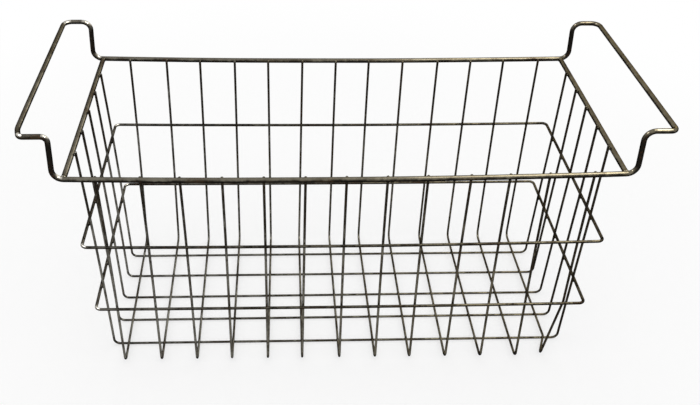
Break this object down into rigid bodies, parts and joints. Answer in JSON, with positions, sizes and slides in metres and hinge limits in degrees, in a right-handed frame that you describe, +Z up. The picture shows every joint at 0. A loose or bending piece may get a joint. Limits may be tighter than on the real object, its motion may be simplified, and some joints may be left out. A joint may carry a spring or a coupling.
{
  "type": "wire locker basket",
  "caption": "Open-topped welded wire basket with leaning walls, an open mesh floor, hoops round the walls and a raised wire grip at each end.",
  "frame": {"origin": "centre of the footprint, on the ground", "axes": "+X along the basket's length, from grip to grip; +Y from the front wall to the back wall; +Z up"},
  "size_m": [0.5528, 0.2248, 0.2754],
  "materials": {
    "heavy_wire": "old plated steel wire, dull, with brown tarnish and bright worn bends",
    "hoop_wire": "old plated steel wire, dull and dark",
    "mesh_wire": "old plated steel wire, dull and dark, worn flat underneath"
  },
  "bodies": {
    "root": {"rim_wire": "heavy_wire", "left_end_bar": "heavy_wire", "right_end_bar": "heavy_wire", "upper_hoop": "hoop_wire", "lower_hoop": "hoop_wire", "cross_wire_01": "mesh_wire", "cross_wire_02": "mesh_wire", "cross_wire_03": "mesh_wire", "cross_wire_04": "mesh_wire", "cross_wire_05": "mesh_wire", "cross_wire_06": "mesh_wire", "cross_wire_07": "mesh_wire", "cross_wire_08": "mesh_wire", "cross_wire_09": "mesh_wire", "cross_wire_10": "mesh_wire", "cross_wire_11": "mesh_wire", "cross_wire_12": "mesh_wire", "cross_wire_13": "mesh_wire", "long_wire_1": "mesh_wire", "long_wire_2": "mesh_wire", "long_wire_3": "mesh_wire", "long_wire_4": "mesh_wire", "long_wire_5": "mesh_wire"}
  },
  "joints": []
}
